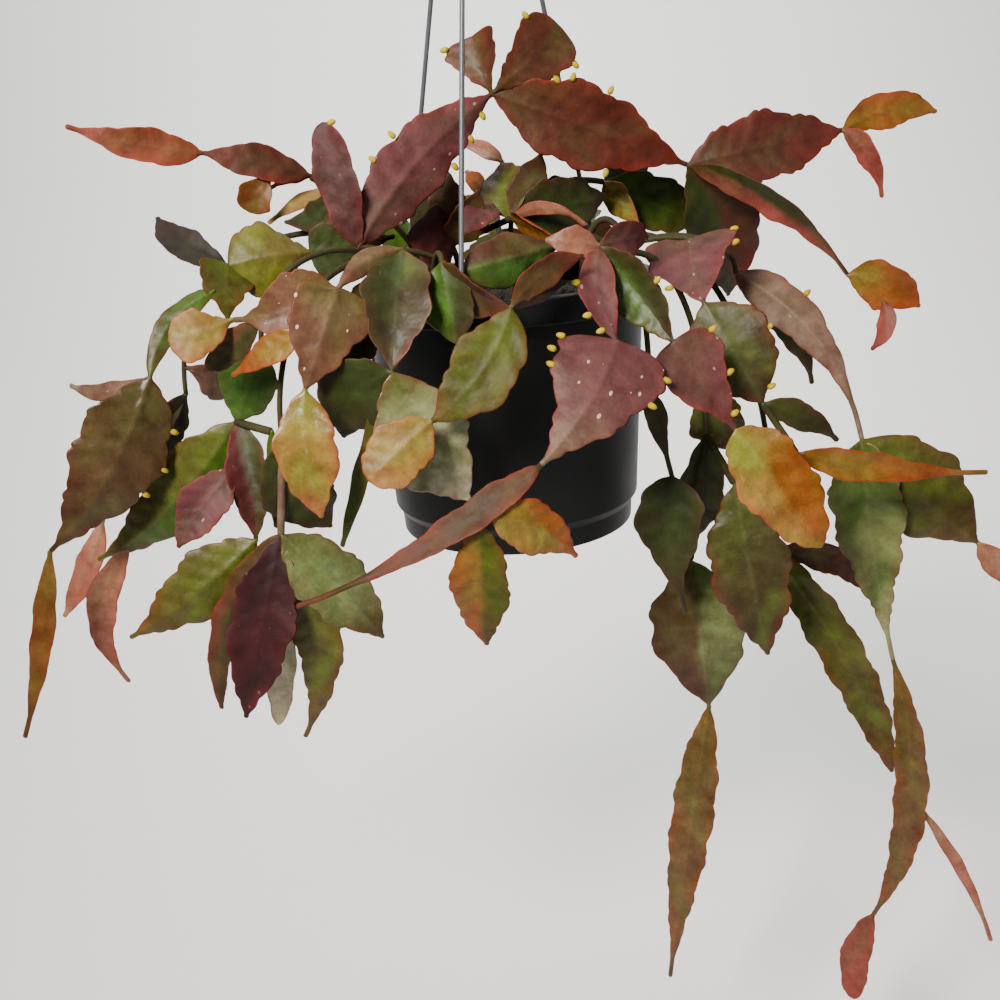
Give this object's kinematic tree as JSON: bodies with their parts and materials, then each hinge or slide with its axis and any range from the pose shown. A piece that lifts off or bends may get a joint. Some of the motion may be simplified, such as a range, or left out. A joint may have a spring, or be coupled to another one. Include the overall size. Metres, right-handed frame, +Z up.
{
  "type": "potted rhipsalis rhombea",
  "caption": "Trailing jungle cactus with flat scalloped stem segments in a round hanging pot, hung by straight wires from a small open hook.",
  "frame": {"origin": "seat of the hanging hook: the middle of the inside of its top, where a nail or rail carries it", "axes": "+Z up along the hanger's axis, out of the hook's top; +X to the right and -Y towards the viewer of the picture"},
  "size_m": [0.5013, 0.2605, 0.7161],
  "materials": {
    "pot_plastic": "matte black moulded plastic with a soft sheen",
    "potting_soil": "dark crumbly potting mix",
    "hanger_wire": "dark grey coated wire, semi-gloss",
    "hanging_hook": "dark grey coated steel, semi-gloss",
    "stem_maroon": "waxy living skin, maroon to mauve, with pink-red edges",
    "stem_orange": "waxy young skin, orange with red edges",
    "stem_green": "waxy living skin, green to olive, glossy",
    "stem_bronze": "waxy living skin, bronze-brown over olive, glossy"
  },
  "bodies": {
    "root": {"pot": "pot_plastic", "soil": "potting_soil", "hanger_wire_1": "hanger_wire", "hanger_wire_2": "hanger_wire", "hanger_wire_3": "hanger_wire", "hanging_hook": "hanging_hook", "stem_crown_arch": "stem_maroon", "stem_left_arm": "stem_orange", "stem_crown": "stem_green", "stem_left_outer": "stem_bronze", "stem_left_back": "stem_green", "stem_left_inner": "stem_green", "stem_left_low": "stem_bronze", "stem_left_front": "stem_maroon", "stem_front": "stem_green", "stem_front_right": "stem_maroon", "stem_right_upper": "stem_bronze", "stem_right_outer": "stem_bronze", "stem_right_low": "stem_green", "stem_right_back": "stem_bronze", "stem_back_1": "stem_bronze", "stem_back_2": "stem_bronze", "stem_back_3": "stem_bronze"}
  },
  "joints": []
}
